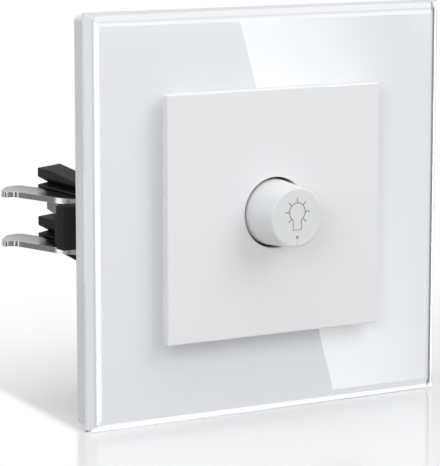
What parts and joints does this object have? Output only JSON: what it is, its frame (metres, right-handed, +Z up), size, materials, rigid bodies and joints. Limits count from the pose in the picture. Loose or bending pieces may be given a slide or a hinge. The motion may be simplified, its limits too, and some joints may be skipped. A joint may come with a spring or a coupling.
{
  "type": "rotary dimmer light switch",
  "caption": "Flush wall light dimmer: glass frame, white centre plate, push-and-turn knob, steel yoke with spreading claws and a black rear housing.",
  "frame": {"origin": "middle of the switch on the wall's surface, at the centre of the yoke's back face", "axes": "+X to the right seen from the room, +Y into the wall, +Z up"},
  "size_m": [0.09, 0.0537, 0.086],
  "materials": {
    "glass": "clear float glass, polished bevel",
    "enamel": "white enamel behind the glass",
    "frame_plastic": "white moulded plastic",
    "plate_plastic": "white, fine matte",
    "knob_plastic": "white, satin, engraved pictogram",
    "claw_steel": "zinc plated, bright",
    "shoe_plastic": "black moulded plastic",
    "yoke_steel": "zinc plated sheet",
    "screw_steel": "zinc plated",
    "spring_steel": "bare spring steel",
    "bushing_brass": "nickelled brass",
    "terminal_brass": "bare brass",
    "housing_plastic": "black moulded plastic",
    "switch_plastic": "dark blue moulded plastic",
    "rotor_plastic": "ivory moulded plastic",
    "contact_metal": "spring bronze",
    "track_ceramic": "carbon track",
    "board_laminate": "green laminate",
    "ferrite": "pressed ferrite",
    "copper_wire": "lacquered copper wire",
    "aluminium": "bare sheet",
    "chip_resin": "moulded resin",
    "film_resin": "red dipped resin",
    "can_sleeve": "blue sleeve",
    "fuse_ceramic": "white ceramic tube",
    "block_plastic": "light grey moulded plastic"
  },
  "bodies": {
    "base": {"glass_panel": "glass", "glass_enamel": "enamel", "base_frame": "frame_plastic", "centre_plate": "plate_plastic", "retaining_nut": "bushing_brass", "spring_washer": "spring_steel", "bushing": "bushing_brass", "pot_case": "switch_plastic", "resistor_track": "track_ceramic", "pot_terminals": "contact_metal", "push_switch_case": "switch_plastic", "fixed_contacts": "contact_metal", "return_spring": "spring_steel", "yoke": "yoke_steel", "claw_pin_left": "screw_steel", "claw_pin_right": "screw_steel", "housing": "housing_plastic", "rear_cover": "housing_plastic", "cover_screws": "screw_steel", "housing_rivets": "screw_steel", "circuit_board": "board_laminate", "choke_core": "ferrite", "choke_winding": "copper_wire", "heat_sink": "aluminium", "power_transistor": "chip_resin", "transistor_legs": "contact_metal", "film_capacitor": "film_resin", "smoothing_capacitor": "can_sleeve", "control_chip": "chip_resin", "fuse_tube": "fuse_ceramic", "fuse_caps": "screw_steel", "fuse_clips": "spring_steel", "terminal_block": "block_plastic", "terminal_clamps": "terminal_brass", "terminal_screws": "screw_steel"},
    "push_slider": {"switch_plunger": "rotor_plastic", "contact_bridge": "contact_metal"},
    "knob_shaft": {"knob": "knob_plastic", "knob_spring_clip": "spring_steel", "control_shaft": "switch_plastic", "shaft_circlip": "spring_steel"},
    "wiper": {"wiper_rotor": "rotor_plastic", "wiper_contact": "contact_metal"},
    "left_claw": {"claw_left": "claw_steel", "claw_shoe_left": "shoe_plastic"},
    "left_claw_screw": {"claw_screw_left": "screw_steel"},
    "left_claw_nut": {"claw_nut_left": "screw_steel"},
    "right_claw": {"claw_right": "claw_steel", "claw_shoe_right": "shoe_plastic"},
    "right_claw_screw": {"claw_screw_right": "screw_steel"},
    "right_claw_nut": {"claw_nut_right": "screw_steel"}
  },
  "joints": [
    {"name": "push_knob", "type": "slide", "parent": "base", "child": "push_slider", "axis": [0, 1, 0], "range_m": [0, 0.0015], "stiffness_N_per_m": 2500, "springref_m": -0.0015, "deforming": ["return_spring"]},
    {"name": "knob_turn", "type": "hinge", "parent": "push_slider", "child": "knob_shaft", "pos_m": [0, 0, 0], "axis": [0, 1, 0], "range_deg": [0, 300]},
    {"name": "wiper_turn", "type": "hinge", "parent": "base", "child": "wiper", "pos_m": [0, 0, 0], "axis": [0, 1, 0], "range_deg": [0, 300]},
    {"name": "claw_swing_left", "type": "hinge", "parent": "base", "child": "left_claw", "pos_m": [-0.0235, 0.0042, -0.0029], "axis": [0, 0, -1], "range_deg": [0, 36]},
    {"name": "claw_screw_turn_left", "type": "hinge", "parent": "base", "child": "left_claw_screw", "pos_m": [-0.0283, 0, -0.0029], "axis": [0, 1, 0], "range_deg": [-1760, 0]},
    {"name": "claw_nut_slide_left", "type": "slide", "parent": "base", "child": "left_claw_nut", "axis": [0, 1, 0], "range_m": [0, 0.004]},
    {"name": "claw_swing_right", "type": "hinge", "parent": "base", "child": "right_claw", "pos_m": [0.0235, 0.0042, -0.0029], "axis": [0, 0, 1], "range_deg": [0, 36]},
    {"name": "claw_screw_turn_right", "type": "hinge", "parent": "base", "child": "right_claw_screw", "pos_m": [0.0283, 0, -0.0029], "axis": [0, 1, 0], "range_deg": [-1760, 0]},
    {"name": "claw_nut_slide_right", "type": "slide", "parent": "base", "child": "right_claw_nut", "axis": [0, 1, 0], "range_m": [0, 0.004]}
  ],
  "couplings": [
    {"joint": "wiper_turn", "follows": "knob_turn", "ratio": 1},
    {"joint": "claw_screw_turn_left", "follows": "claw_swing_left", "ratio": -48.695},
    {"joint": "claw_nut_slide_left", "follows": "claw_swing_left", "m_per_rad": 0.0062},
    {"joint": "claw_screw_turn_right", "follows": "claw_swing_right", "ratio": -48.695},
    {"joint": "claw_nut_slide_right", "follows": "claw_swing_right", "m_per_rad": 0.0062}
  ]
}
